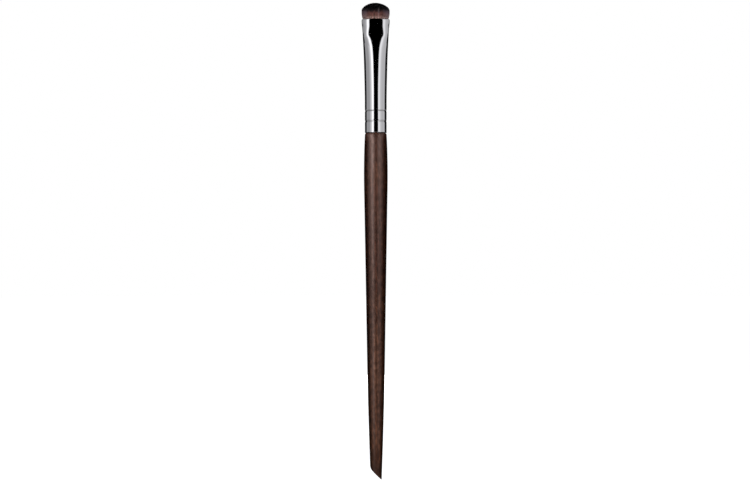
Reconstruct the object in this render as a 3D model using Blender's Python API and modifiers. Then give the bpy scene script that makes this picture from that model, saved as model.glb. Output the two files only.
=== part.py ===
"""Makeup brush for the eyes, upright with the hair at the top.

It is built as the real one is. A turned wooden handle has a tenon that is glued and crimped
into a drawn metal ferrule. The hair is tied round its root, pushed into the ferrule from
behind, set in epoxy there, and held flat by the ferrule's pressed oval mouth.

Frame: Z runs along the brush, up towards the hair. The origin is on the axis at the belly of
the handle, where fingers hold it. The ferrule's broad front faces -Y, and the point of the
handle's slanted end is on +X.
"""

import math
import random

import bmesh
import bpy
from mathutils import Vector
from mathutils.geometry import delaunay_2d_cdt

# Clearances
FIT_GAP = 0.0003
HAIR_GAP = 0.0002
OVERRUN = 0.002
WELD_DISTANCE = 0.00001

# Ferrule: a drawn tube, round at the rear and pressed flat at the mouth
FERRULE_LENGTH = 0.0440
FERRULE_WALL = 0.00035
REAR_RADIUS = 0.00413
FRONT_RADIUS = 0.00483
MOUTH_HALF_WIDTH = 0.00524
MOUTH_HALF_DEPTH = 0.0030
ROUND_POWER = 2.0
MOUTH_POWER = 2.85
BEAD_LENGTH = 0.0018
BEAD_HEIGHT = 0.00022
FERRULE_SIDES = 40

# Shares of the ferrule's length against shares of the drawn cone's widening
CONE_SHARES = ((0.0, 0.0), (0.30, 0.0), (0.40, 0.09), (0.64, 0.47), (1.0, 1.0))
# Shares of the length, then how far the mouth's width and its depth are reached there
WIDTH_PRESS_SHARES = (
    (0.0, 0.0), (0.62, 0.0), (0.75, 0.08), (0.81, 0.32), (0.86, 0.74), (0.92, 0.97), (1.0, 1.0)
)
DEPTH_PRESS_SHARES = (
    (0.0, 0.0), (0.58, 0.0), (0.73, 0.22), (0.80, 0.56), (0.86, 0.92), (0.92, 1.0), (1.0, 1.0)
)
# Where the rings of the ferrule's mesh lie: shares of its length, of a crimp's width and of the bead
FERRULE_RING_SHARES = (0.30, 0.36, 0.44, 0.54, 0.62, 0.68, 0.73, 0.77, 0.81, 0.84, 0.87, 0.90, 0.93)
CRIMP_RING_SHARES = (0.5, 0.25, 0.0, -0.25, -0.5)
BEAD_RING_SHARES = (0.0, 0.12, 0.3, 0.5, 0.7, 0.88, 1.0)

# Crimps, from the ferrule's rear edge
NARROW_CRIMP_HEIGHT = 0.0087
NARROW_CRIMP_WIDTH = 0.0009
WIDE_CRIMP_HEIGHT = 0.0045
WIDE_CRIMP_WIDTH = 0.0014
CRIMP_DEPTH = 0.00014
CRIMPS = ((NARROW_CRIMP_HEIGHT, NARROW_CRIMP_WIDTH), (WIDE_CRIMP_HEIGHT, WIDE_CRIMP_WIDTH))

# Handle: turned wood, measured down from the ferrule's rear edge
HANDLE_SHOWN = 0.1344
BELLY_DROP = 0.0160
BELLY_RADIUS = 0.0046
END_RADIUS = 0.0021
SHOULDER_STEP = 0.00006
SHOULDER_ROUND = 0.0005
TENON_CHAMFER = 0.0006
SLANT = math.radians(45)
SLANT_CORNER_RADIUS = 0.0040
HANDLE_SIDES = 36
SHOULDER_STEPS = 4
RISE_RINGS = 7
FALL_RINGS = 22
CORNER_STEPS = 7

# Shares of the way from the belly to the point against shares of the radius that is lost
FALL_SHARES = (
    (0.0, 0.0), (0.12, 0.09), (0.30, 0.245), (0.50, 0.40), (0.70, 0.56), (0.85, 0.745), (1.0, 1.0)
)

# Hair: the tuft stands on a tied and glued root
TUFT_BELLY_HEIGHT = 0.0032
TUFT_BELLY_HALF_WIDTH = 0.00552
TUFT_BELLY_HALF_DEPTH = 0.0032
TUFT_DOME_HEIGHT = 0.0033
ROOT_TOP_DEPTH = 0.0165
ROOT_HEIGHT = 0.0055
STRAND_ROWS = 21
STRAND_MARGIN_SHARE = 0.8
ROOT_SIDES = 32
TIP_SPREAD = 0.00022
STRAND_SEED = 11
# Share of the ferrule's length where its pressed panel is reached, and the strands bend
PANEL_SHARE = 0.86
# How much of its cell a strand fills at the pressed panel, the mouth, the belly and the tip
STRAND_FILL_SHARES = (0.90, 0.90, 0.86, 0.42)

# Thread round the root, and the resins behind it
THREAD_DIAMETER = 0.0003
THREAD_TURN_GAP = 0.00045
THREAD_TURNS = 4
THREAD_TURN_POINTS = 18
EPOXY_DEPTH = 0.0040
EPOXY_CHAMFER = 0.0004
GLUE_THICKNESS = 0.0008
GLUE_CHAMFER = 0.0002
RESIN_SIDES = 28


def smooth(shares, at):
    """Height at `at` of the smooth curve through the share pairs. It is a cubic between each
    two points, and its slope at a point is the harmonic mean of the slopes on both sides, so
    that it never overshoots."""
    slopes = [(b[1] - a[1]) / (b[0] - a[0]) for a, b in zip(shares, shares[1:])]
    inner = [2 * p * q / (p + q) if p * q > 0 else 0.0 for p, q in zip(slopes, slopes[1:])]
    tangents = [0.0, *inner, slopes[-1]]
    index = next(i for i in range(len(slopes)) if at <= shares[i + 1][0] or i == len(slopes) - 1)
    (x0, y0), (x1, y1) = shares[index], shares[index + 1]
    t = (at - x0) / (x1 - x0)
    lead = (1 + 2 * t) * (1 - t) ** 2 * y0 + t * t * (3 - 2 * t) * y1
    return lead + (x1 - x0) * (t * (1 - t) ** 2 * tangents[index] - t * t * (1 - t) * tangents[index + 1])


def mix(start, end, share):
    return start + (end - start) * share


def crimp(height):
    """How far the two crimp rings press the tube in at this height above its rear edge."""
    pressed = 0.0
    for centre, width in CRIMPS:
        offset = abs(height - centre) / width
        if offset < 0.5:
            pressed += CRIMP_DEPTH * math.cos(math.pi * offset) ** 2
    return pressed


def bead(height):
    """How far the rolled bead at the mouth stands out at this height."""
    share = (height - FERRULE_LENGTH + BEAD_LENGTH) / BEAD_LENGTH
    return BEAD_HEIGHT * math.sin(math.pi * share) ** 0.5 if 0 < share < 1 else 0.0


def ferrule_section(height):
    """(half width, half depth, power) of the ferrule's outside at this height."""
    along = height / FERRULE_LENGTH
    cone = mix(REAR_RADIUS, FRONT_RADIUS, smooth(CONE_SHARES, along))
    thinning = smooth(DEPTH_PRESS_SHARES, along)
    change = bead(height) - crimp(height)
    half_width = mix(cone, MOUTH_HALF_WIDTH, smooth(WIDTH_PRESS_SHARES, along)) + change
    half_depth = mix(cone, MOUTH_HALF_DEPTH, thinning) + change
    return half_width, half_depth, mix(ROUND_POWER, MOUTH_POWER, thinning)


def oval_point(half_width, half_depth, power, angle):
    """Point of the oval |x / half_width|^power + |y / half_depth|^power = 1."""
    across = half_width * abs(math.cos(angle)) ** (ROUND_POWER / power)
    deep = half_depth * abs(math.sin(angle)) ** (ROUND_POWER / power)
    return Vector((math.copysign(across, math.cos(angle)), math.copysign(deep, math.sin(angle))))


def bore_radius(height):
    """Radius of the round part of the ferrule's bore."""
    return ferrule_section(height)[1] - FERRULE_WALL


def crimp_heights():
    """Heights of the rings that draw the two crimps, from the upper one down."""
    return [centre + width * share for centre, width in CRIMPS for share in CRIMP_RING_SHARES]


def handle_radius(drop):
    """Radius of the shown handle at this distance below the ferrule: a quarter sine up to
    the belly, then the falling curve of FALL_SHARES down to the point."""
    if drop < BELLY_DROP:
        shoulder = REAR_RADIUS - SHOULDER_STEP
        return mix(shoulder, BELLY_RADIUS, math.sin(math.pi / 2 * drop / BELLY_DROP))
    along = (drop - BELLY_DROP) / (HANDLE_SHOWN - BELLY_DROP)
    return mix(BELLY_RADIUS, END_RADIUS, smooth(FALL_SHARES, along))


def clear_scene():
    for obj in list(bpy.data.objects):
        bpy.data.objects.remove(obj)


def new_collection(name):
    collection = bpy.data.collections.new(name)
    bpy.context.scene.collection.children.link(collection)
    return collection


def finish(name, colour, roughness, metallic=0.0):
    material = bpy.data.materials.new(name)
    material.use_nodes = True
    shader = material.node_tree.nodes["Principled BSDF"]
    shader.inputs["Base Color"].default_value = (*colour, 1.0)
    shader.inputs["Roughness"].default_value = roughness
    shader.inputs["Metallic"].default_value = metallic
    material.diffuse_color = (*colour, 1.0)
    return material


def place(name, data, collection, material, height=0.0):
    """A new object on the brush's axis, at this height above the handle's belly."""
    obj = bpy.data.objects.new(name, data)
    collection.objects.link(obj)
    obj.location.z = height
    obj.parent = frame_empty
    data.materials.append(material)
    return obj


def turn(name, profile, sides, material, height):
    """A body turned about Z from a profile that runs down its outer side."""
    mesh = bpy.data.meshes.new(name)
    points = [(radius, 0.0, z) for radius, z in profile]
    mesh.from_pydata(points, [(i, i + 1) for i in range(len(points) - 1)], [])
    obj = place(name, mesh, brush, material, height)
    screw = obj.modifiers.new("Turn", "SCREW")
    screw.axis = "Z"
    screw.steps = sides
    screw.render_steps = sides
    screw.use_merge_vertices = True
    screw.merge_threshold = WELD_DISTANCE
    screw.use_smooth_shade = True
    return obj


def disc_profile(radius, top, bottom, chamfer):
    return [
        (0.0, top),
        (radius - chamfer, top),
        (radius, top - chamfer),
        (radius, bottom + chamfer),
        (radius - chamfer, bottom),
        (0.0, bottom),
    ]


def tenon_profile(top):
    """Tenon and shoulder: the tenon follows the bore, crimps and all, a fit gap inside it."""
    tip_radius = bore_radius(top) - FIT_GAP
    profile = [(0.0, top), (tip_radius - TENON_CHAMFER, top), (tip_radius, top - TENON_CHAMFER)]
    profile += [(bore_radius(z) - FIT_GAP, z) for z in crimp_heights()]
    profile.append((bore_radius(0.0) - FIT_GAP, -FIT_GAP))
    shoulder_radius = handle_radius(SHOULDER_ROUND + FIT_GAP)
    for step in range(SHOULDER_STEPS + 1):
        turned = math.pi / 2 * step / SHOULDER_STEPS
        inward = SHOULDER_ROUND * (1 - math.sin(turned))
        down = SHOULDER_ROUND * (1 - math.cos(turned))
        profile.append((shoulder_radius - inward, -FIT_GAP - down))
    return profile


def shown_profile():
    """The handle from the shoulder to past its point, ending on the axis."""
    start = SHOULDER_ROUND + FIT_GAP
    drops = [mix(start, BELLY_DROP, step / RISE_RINGS) for step in range(1, RISE_RINGS + 1)]
    drops += [mix(BELLY_DROP, HANDLE_SHOWN, step / FALL_RINGS) for step in range(1, FALL_RINGS + 1)]
    profile = [(handle_radius(drop), -drop) for drop in drops]
    return profile + [(END_RADIUS, -HANDLE_SHOWN - OVERRUN), (0.0, -HANDLE_SHOWN - OVERRUN)]


def slant_corner():
    """Drop below the ferrule where the slanted face meets the handle's far side."""
    drop = HANDLE_SHOWN
    for _ in range(CORNER_STEPS * CORNER_STEPS):
        drop = HANDLE_SHOWN - (END_RADIUS + handle_radius(drop)) / math.tan(SLANT)
    return drop


def slant_cutter(height):
    """A block below the slanted end, whose edge is an arc where it meets the handle's side."""
    drop = slant_corner()
    radius = handle_radius(drop)
    taper = math.atan2(handle_radius(drop - OVERRUN) - radius, OVERRUN)
    tangent = SLANT_CORNER_RADIUS * math.tan((SLANT - taper) / 2)
    corner = Vector((-radius, -drop))
    start = corner + Vector((math.sin(SLANT), -math.cos(SLANT))) * tangent
    centre = start + Vector((math.cos(SLANT), math.sin(SLANT))) * SLANT_CORNER_RADIUS
    outline = []
    for step in range(CORNER_STEPS + 1):
        turned = mix(SLANT, taper, step / CORNER_STEPS)
        outline.append(centre - Vector((math.cos(turned), math.sin(turned))) * SLANT_CORNER_RADIUS)
    side = BELLY_RADIUS + OVERRUN
    floor = -HANDLE_SHOWN - OVERRUN - side
    outline += [Vector((-side, outline[-1].y)), Vector((-side, floor)), Vector((side, floor))]
    outline.append(Vector((side, -HANDLE_SHOWN - (side - END_RADIUS) / math.tan(SLANT))))
    curve = bpy.data.curves.new("slant_outline", "CURVE")
    curve.dimensions = "2D"
    curve.fill_mode = "BOTH"
    curve.extrude = side
    spline = curve.splines.new("POLY")
    spline.points.add(len(outline) - 1)
    for point, place_at in zip(spline.points, outline):
        point.co = (place_at.x, place_at.y, 0.0, 1.0)
    spline.use_cyclic_u = True
    guide = bpy.data.objects.new("slant_outline", curve)
    cutters.objects.link(guide)
    bpy.context.view_layer.update()
    graph = bpy.context.evaluated_depsgraph_get()
    mesh = bpy.data.meshes.new_from_object(guide.evaluated_get(graph))
    bpy.data.objects.remove(guide)
    bm = bmesh.new()
    bm.from_mesh(mesh)
    bmesh.ops.remove_doubles(bm, verts=bm.verts, dist=WELD_DISTANCE)
    bmesh.ops.recalc_face_normals(bm, faces=bm.faces)
    bm.to_mesh(mesh)
    bm.free()
    cutter = bpy.data.objects.new("slant_cutter", mesh)
    cutters.objects.link(cutter)
    cutter.location.z = height
    cutter.rotation_euler.x = math.pi / 2
    cutter.parent = frame_empty
    cutter.hide_render = True
    cutter.display_type = "WIRE"
    return cutter


def make_handle(wood, tenon_top):
    handle = turn("handle", tenon_profile(tenon_top) + shown_profile(), HANDLE_SIDES, wood, BELLY_DROP)
    cut = handle.modifiers.new("Slanted end", "BOOLEAN")
    cut.operation = "DIFFERENCE"
    cut.solver = "EXACT"
    cut.object = slant_cutter(BELLY_DROP)


def ferrule_heights():
    """Ring heights from the rear edge to the mouth."""
    heights = [0.0] + sorted(crimp_heights())
    heights += [FERRULE_LENGTH * share for share in FERRULE_RING_SHARES]
    return heights + [FERRULE_LENGTH - BEAD_LENGTH * (1 - share) for share in BEAD_RING_SHARES]


def make_ferrule(metal):
    """A straight tube is spun first, each of its rings is then drawn and pressed to its
    section, and Solidify gives the skin its wall on the inside."""
    bm = bmesh.new()
    line = [bm.verts.new((REAR_RADIUS, 0.0, z)) for z in ferrule_heights()]
    edges = [bm.edges.new(pair) for pair in zip(line, line[1:])]
    bmesh.ops.spin(
        bm,
        geom=line + edges,
        cent=(0.0, 0.0, 0.0),
        axis=(0.0, 0.0, 1.0),
        angle=math.tau,
        steps=FERRULE_SIDES,
        use_merge=True,
    )
    bmesh.ops.remove_doubles(bm, verts=bm.verts, dist=WELD_DISTANCE)
    for vert in bm.verts:
        angle = math.atan2(vert.co.y, vert.co.x)
        vert.co.xy = oval_point(*ferrule_section(vert.co.z), angle)
    bmesh.ops.recalc_face_normals(bm, faces=bm.faces)
    for edge in bm.edges:
        edge.smooth = not edge.is_boundary
    mesh = bpy.data.meshes.new("ferrule")
    bm.to_mesh(mesh)
    bm.free()
    mesh.shade_smooth()
    ferrule = place("ferrule", mesh, brush, metal, BELLY_DROP)
    wall = ferrule.modifiers.new("Wall", "SOLIDIFY")
    wall.thickness = FERRULE_WALL
    wall.offset = -1.0
    wall.use_even_offset = True


def root_lattice(radius):
    """The root's top, with the strands' cells in it: rows of equal triangles inside the
    circle and a ring of points round them, joined by Delaunay triangles. Returns the points,
    the triangles and, for each triangle, whether it is a strand's, which is each one that
    points up."""
    pitch = 2 * radius / STRAND_ROWS
    row_step = pitch * math.sqrt(3) / 2
    limit = radius - pitch * STRAND_MARGIN_SHARE
    angles = [math.tau * i / ROOT_SIDES for i in range(ROOT_SIDES)]
    ring = [Vector((math.cos(angle), math.sin(angle))) * radius for angle in angles]
    cells = {}
    points = list(ring)
    for row in range(-STRAND_ROWS, STRAND_ROWS + 1):
        for column in range(-2 * STRAND_ROWS, 2 * STRAND_ROWS + 1):
            point = Vector(((column + row / 2) * pitch, (row + 1 / 3) * row_step))
            if point.length < limit:
                cells[len(points)] = (column, row)
                points.append(point)
    around = [(i, (i + 1) % ROOT_SIDES) for i in range(ROOT_SIDES)]
    merged, _, faces, origins, _, _ = delaunay_2d_cdt(points, around, [], 0, WELD_DISTANCE)
    strands = []
    for face in faces:
        spots = sorted(cells.get(origins[corner][0], (math.inf, 0)) for corner in face)
        column, row = spots[0]
        strands.append(spots == [(column, row), (column, row + 1), (column + 1, row)])
    return merged, faces, strands


def strand_reach(faces, fill):
    """Distance from the axis to the farthest corner of the cells, each filled to this share."""
    reach = 0.0
    for face in faces:
        centre = face.calc_center_median().xy
        corners = [centre + (vert.co.xy - centre) * fill for vert in face.verts]
        reach = max(reach, *(corner.length for corner in corners))
    return reach


def make_tuft(hair, root_radius):
    """The root is a short round slice. Each strand is its own cell of the slice's top,
    extruded through the pressed panel, the mouth and the belly of the tuft to its tip. All
    strands take the same stretch at each height, so none crosses another."""
    points, faces, is_strand = root_lattice(root_radius)
    panel = FERRULE_LENGTH * PANEL_SHARE
    levels = [
        (panel - FERRULE_LENGTH, *(side - FERRULE_WALL - HAIR_GAP for side in ferrule_section(panel)[:2])),
        (0.0, MOUTH_HALF_WIDTH - FERRULE_WALL - HAIR_GAP, MOUTH_HALF_DEPTH - FERRULE_WALL - HAIR_GAP),
        (TUFT_BELLY_HEIGHT, TUFT_BELLY_HALF_WIDTH, TUFT_BELLY_HALF_DEPTH),
        (TUFT_BELLY_HEIGHT + TUFT_DOME_HEIGHT, TUFT_BELLY_HALF_WIDTH, TUFT_BELLY_HALF_DEPTH),
    ]
    bm = bmesh.new()
    verts = [bm.verts.new((point.x, point.y, -ROOT_TOP_DEPTH)) for point in points]
    top = [bm.faces.new([verts[i] for i in face]) for face in faces]
    bmesh.ops.recalc_face_normals(bm, faces=top)
    if top[0].normal.z < 0:
        bmesh.ops.reverse_faces(bm, faces=top)
    strand_faces = [face for face, strand in zip(top, is_strand) if strand]
    reaches = [strand_reach(strand_faces, fill) for fill in STRAND_FILL_SHARES]
    rim = [edge for edge in bm.edges if edge.is_boundary]
    walls = bmesh.ops.extrude_edge_only(bm, edges=rim)["geom"]
    floor_edges = [item for item in walls if isinstance(item, bmesh.types.BMEdge) and item.is_boundary]
    for vert in {vert for edge in floor_edges for vert in edge.verts}:
        vert.co.z -= ROOT_HEIGHT
    bmesh.ops.contextual_create(bm, geom=floor_edges)

    draw = random.Random(STRAND_SEED)
    last_stretch = Vector((1.0, 1.0))
    last_fill = 1.0
    for (height, half_width, half_depth), fill, reach in zip(levels, STRAND_FILL_SHARES, reaches):
        at_tip = height > TUFT_BELLY_HEIGHT
        stretch = Vector((half_width / reach, half_depth / reach))
        strand_faces = bmesh.ops.extrude_discrete_faces(bm, faces=strand_faces)["faces"]
        for face in strand_faces:
            middle = face.calc_center_median().xy
            centre = Vector((middle.x / last_stretch.x, middle.y / last_stretch.y))
            dome = math.sqrt(max(0.0, 1 - (centre.length / reach) ** 2))
            drop = (TUFT_DOME_HEIGHT * (1 - dome) + TIP_SPREAD * draw.random() * dome) if at_tip else 0.0
            for vert in face.verts:
                corner = Vector((vert.co.x / last_stretch.x, vert.co.y / last_stretch.y))
                vert.co.xy = (centre + (corner - centre) * (fill / last_fill)) * stretch
                vert.co.z = height - drop
        last_stretch = stretch
        last_fill = fill
    bmesh.ops.recalc_face_normals(bm, faces=bm.faces)
    mesh = bpy.data.meshes.new("bristle_tuft")
    bm.to_mesh(mesh)
    bm.free()
    place("bristle_tuft", mesh, brush, hair, BELLY_DROP + FERRULE_LENGTH)
    print(f"bristle_tuft: {len(strand_faces)} strands")


def make_thread(fibre, root_radius):
    """One helix of thread round the middle of the root."""
    pitch = THREAD_DIAMETER + THREAD_TURN_GAP
    radius = root_radius + FIT_GAP + THREAD_DIAMETER / 2
    middle = FERRULE_LENGTH - ROOT_TOP_DEPTH - ROOT_HEIGHT / 2
    count = THREAD_TURNS * THREAD_TURN_POINTS + 1
    helix = []
    for index in range(count):
        turns = index / THREAD_TURN_POINTS
        angle = math.tau * turns
        rise = pitch * (turns - THREAD_TURNS / 2)
        helix.append(Vector((radius * math.cos(angle), radius * math.sin(angle), rise)))
    curve = bpy.data.curves.new("binding_thread", "CURVE")
    curve.dimensions = "3D"
    curve.bevel_depth = THREAD_DIAMETER / 2
    curve.bevel_resolution = 1
    curve.use_fill_caps = True
    spline = curve.splines.new("POLY")
    spline.points.add(count - 1)
    for point, place_at in zip(spline.points, helix):
        point.co = (*place_at, 1.0)
    place("binding_thread", curve, brush, fibre, BELLY_DROP + middle)
    far = THREAD_TURN_POINTS // 2
    least = min((a - b).length for i, a in enumerate(helix) for b in helix[i + far:]) - THREAD_DIAMETER
    print(f"binding_thread: {THREAD_TURNS} turns, least gap {least:.5f} m")


clear_scene()
brush = new_collection("makeup_brush")
cutters = new_collection("cutters")
frame_empty = bpy.data.objects.new("brush_frame", None)
brush.objects.link(frame_empty)

lacquered_wood = finish("lacquered_wood", (0.062, 0.026, 0.017), 0.28)
polished_metal = finish("polished_metal", (0.74, 0.74, 0.75), 0.08, 1.0)
dyed_hair = finish("dyed_hair", (0.035, 0.020, 0.020), 0.55)
waxed_thread = finish("waxed_thread", (0.55, 0.50, 0.40), 0.70)
amber_epoxy = finish("amber_epoxy", (0.50, 0.33, 0.12), 0.20)
white_glue = finish("white_glue", (0.75, 0.73, 0.66), 0.45)

root_bottom = FERRULE_LENGTH - ROOT_TOP_DEPTH - ROOT_HEIGHT
epoxy_top = root_bottom - FIT_GAP
epoxy_bottom = epoxy_top - EPOXY_DEPTH
glue_top = epoxy_bottom - FIT_GAP
tenon_top = glue_top - GLUE_THICKNESS - FIT_GAP
root_radius = bore_radius(root_bottom) - FIT_GAP - THREAD_DIAMETER - FIT_GAP
epoxy_radius = bore_radius(epoxy_bottom) - FIT_GAP
glue_radius = bore_radius(glue_top - GLUE_THICKNESS) - FIT_GAP

make_handle(lacquered_wood, tenon_top)
make_ferrule(polished_metal)
make_tuft(dyed_hair, root_radius)
make_thread(waxed_thread, root_radius)
epoxy_profile = disc_profile(epoxy_radius, epoxy_top, epoxy_bottom, EPOXY_CHAMFER)
turn("epoxy_plug", epoxy_profile, RESIN_SIDES, amber_epoxy, BELLY_DROP)
glue_profile = disc_profile(glue_radius, glue_top, glue_top - GLUE_THICKNESS, GLUE_CHAMFER)
turn("handle_glue", glue_profile, RESIN_SIDES, white_glue, BELLY_DROP)
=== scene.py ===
# %% [markdown]
# # A makeup brush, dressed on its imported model
#
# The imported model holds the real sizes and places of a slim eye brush: hair, a metal ferrule and
# a wooden handle. This notebook gives each piece its fine surface and its finish. A surface is
# worked out with numpy as a whole grid of points, and a finish is made of shader nodes. All
# lengths are in metres, Z runs up the brush towards the hair, and the ferrule's broad front
# faces the camera, on -Y.

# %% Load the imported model
import math

import bpy
import numpy as np
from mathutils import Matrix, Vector


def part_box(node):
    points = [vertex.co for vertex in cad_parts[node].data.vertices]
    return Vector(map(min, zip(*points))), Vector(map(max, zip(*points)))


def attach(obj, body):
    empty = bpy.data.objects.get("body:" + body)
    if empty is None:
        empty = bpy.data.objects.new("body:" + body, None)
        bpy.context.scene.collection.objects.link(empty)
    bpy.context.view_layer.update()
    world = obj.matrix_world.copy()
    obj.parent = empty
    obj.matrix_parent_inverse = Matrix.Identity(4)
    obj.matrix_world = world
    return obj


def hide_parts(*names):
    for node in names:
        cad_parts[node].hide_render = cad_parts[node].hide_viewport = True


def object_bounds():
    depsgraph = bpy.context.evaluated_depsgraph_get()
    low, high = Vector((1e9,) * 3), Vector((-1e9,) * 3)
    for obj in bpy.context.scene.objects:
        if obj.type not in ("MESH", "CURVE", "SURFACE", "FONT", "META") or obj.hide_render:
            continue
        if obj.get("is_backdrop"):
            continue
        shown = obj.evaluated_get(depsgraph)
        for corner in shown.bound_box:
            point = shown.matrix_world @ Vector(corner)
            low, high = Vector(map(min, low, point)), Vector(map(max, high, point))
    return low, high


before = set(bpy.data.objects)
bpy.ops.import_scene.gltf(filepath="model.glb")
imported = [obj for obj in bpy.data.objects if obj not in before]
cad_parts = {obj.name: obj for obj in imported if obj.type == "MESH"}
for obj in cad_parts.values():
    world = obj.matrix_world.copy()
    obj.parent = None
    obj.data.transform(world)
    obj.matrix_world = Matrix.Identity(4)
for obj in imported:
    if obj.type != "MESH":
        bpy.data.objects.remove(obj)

cad_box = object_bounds()
print("nodes:", sorted(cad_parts))

# %% [markdown]
# ## The sizes that every piece shares
#
# Most heights can be read from the model's boxes, so they are not typed again. The sections of
# the ferrule and the handle follow curves, which a box can't tell, so their driving sizes are
# named here. The prints show the sizes read from the model.

# %% Sizes read from the model
FERRULE_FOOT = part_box("ferrule")[0].z
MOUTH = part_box("ferrule")[1].z
FERRULE_LENGTH = MOUTH - FERRULE_FOOT
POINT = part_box("handle")[0].z
HANDLE_SHOWN = FERRULE_FOOT - POINT
TENON_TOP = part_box("handle")[1].z - FERRULE_FOOT
ROOT_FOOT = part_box("bristle_tuft")[0].z - MOUTH
TUFT_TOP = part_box("bristle_tuft")[1].z - MOUTH
THREAD_LOW, THREAD_HIGH = (corner.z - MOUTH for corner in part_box("binding_thread"))
print(f"ferrule {FERRULE_LENGTH:.4f}, handle shown {HANDLE_SHOWN:.4f}, tuft {TUFT_TOP:.4f}")

# %% Sizes of the sections
FIT_GAP = 0.0003
REAR_RADIUS = 0.00420
FRONT_RADIUS = 0.00483
WALL = 0.00035
MOUTH_HALF_WIDTH = 0.00524
MOUTH_HALF_DEPTH = 0.0030
ROUND_POWER = 2.0
MOUTH_POWER = 2.85
LIP_LENGTH = 0.0038
LIP_FLARE = 0.00020
CRIMP_DEPTH = 0.00011
CRIMPS = ((0.00850, 0.0009), (0.0045, 0.0014))
BELLY_DROP = 0.0160
BELLY_RISE_POWER = 0.72
BELLY_RADIUS = 0.0046
END_RADIUS = 0.00215
SLANT = math.radians(45)
SLANT_CORNER_RADIUS = 0.0027

CONE_SHARES = ((0.0, 0.0), (0.20, 0.01), (0.30, 0.05), (0.40, 0.15), (0.64, 0.55), (1.0, 1.0))
WIDTH_PRESS_SHARES = (
    (0.0, 0.0), (0.60, 0.0), (0.70, 0.10), (0.777, 0.30), (0.82, 0.43), (0.857, 0.56), (0.891, 0.70),
    (0.927, 0.91), (0.96, 0.99), (1.0, 1.0),
)
DEPTH_PRESS_SHARES = (
    (0.0, 0.0), (0.58, 0.0), (0.73, 0.22), (0.80, 0.56), (0.86, 0.92), (0.92, 1.0), (1.0, 1.0)
)
POWER_SHARES = (
    (0.0, 0.0), (0.35, 0.0), (0.55, 0.08), (0.73, 0.26), (0.80, 0.63), (0.82, 0.84), (0.838, 1.15),
    (0.856, 1.60), (0.873, 1.54), (0.892, 1.31), (0.94, 0.79), (1.0, 0.75),
)
FALL_SHARES = (
    (0.0, 0.0), (0.12, 0.084), (0.30, 0.230), (0.50, 0.388), (0.70, 0.555), (0.85, 0.750), (1.0, 1.0)
)


def mix(start, end, share):
    """The value at this share of the way from start to end."""
    return start + (end - start) * share


def smooth(pairs, at):
    """Smooth curve through the (place, value) pairs, read at the array `at`. Between two pairs it
    is the cubic that meets both, and its slope at a pair is the harmonic mean of the slopes on
    its two sides, or none where they differ in sign, so that it never overshoots."""
    places, values = np.array(pairs, float).T
    slopes = np.diff(values) / np.diff(places)
    before, after = slopes[:-1], slopes[1:]
    agree = before * after > 0
    total = np.where(agree, before + after, 1.0)
    tangents = np.concatenate([[0.0], np.where(agree, 2 * before * after / total, 0.0), slopes[-1:]])
    at = np.asarray(at, float)
    index = np.clip(np.searchsorted(places, at) - 1, 0, len(slopes) - 1)
    step = places[index + 1] - places[index]
    t = (at - places[index]) / step
    lead = (1 + 2 * t) * (1 - t) ** 2 * values[index] + t * t * (3 - 2 * t) * values[index + 1]
    bend = t * (1 - t) ** 2 * tangents[index] - t * t * (1 - t) * tangents[index + 1]
    return lead + step * bend


# %% [markdown]
# ## From a grid of points to a mesh
#
# Every piece here is a grid: its rows run along the piece and its columns run round it. Faces
# could be listed one by one, but the numbers of a face's corners follow from its row and column,
# so numpy can write them all at once. Rows that go up and columns that go anticlockwise make
# faces that point outwards. A pole is one point that closes the first or the last row, so the
# mesh has no hole there.

# %% Mesh helpers
def rings(radius, angle, z):
    """Points on level rings about the brush's axis: the radius times the angle's cosine and sine,
    at height z. What is one number holds for all points."""
    places = np.broadcast_arrays(radius * np.cos(angle), radius * np.sin(angle), z)
    return np.stack(places, axis=-1)


def mesh_from(name, points, polygons, **fields):
    """An object at the origin from an array of points and a list of arrays of polygons, where
    each array holds polygons with the same number of corners. `fields` are vectors, one for
    each point, that the materials read by name."""
    mesh = bpy.data.meshes.new(name)
    mesh.vertices.add(len(points))
    mesh.vertices.foreach_set("co", np.asarray(points, np.float32).ravel())
    corners = np.concatenate([part.ravel() for part in polygons]).astype(np.int32)
    counts = np.concatenate([np.full(len(part), part.shape[1]) for part in polygons])
    starts = np.concatenate([[0], np.cumsum(counts)[:-1]]).astype(np.int32)
    mesh.loops.add(len(corners))
    mesh.loops.foreach_set("vertex_index", corners)
    mesh.polygons.add(len(counts))
    mesh.polygons.foreach_set("loop_start", starts)
    mesh.update(calc_edges=True)
    mesh.shade_smooth()
    for field, values in fields.items():
        attribute = mesh.attributes.new(field, "FLOAT_VECTOR", "POINT")
        attribute.data.foreach_set("vector", np.asarray(values, np.float32).ravel())
    obj = bpy.data.objects.new(name, mesh)
    bpy.context.scene.collection.objects.link(obj)
    print(f"{name}: {int((counts - 2).sum())} triangles")
    return obj


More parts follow.
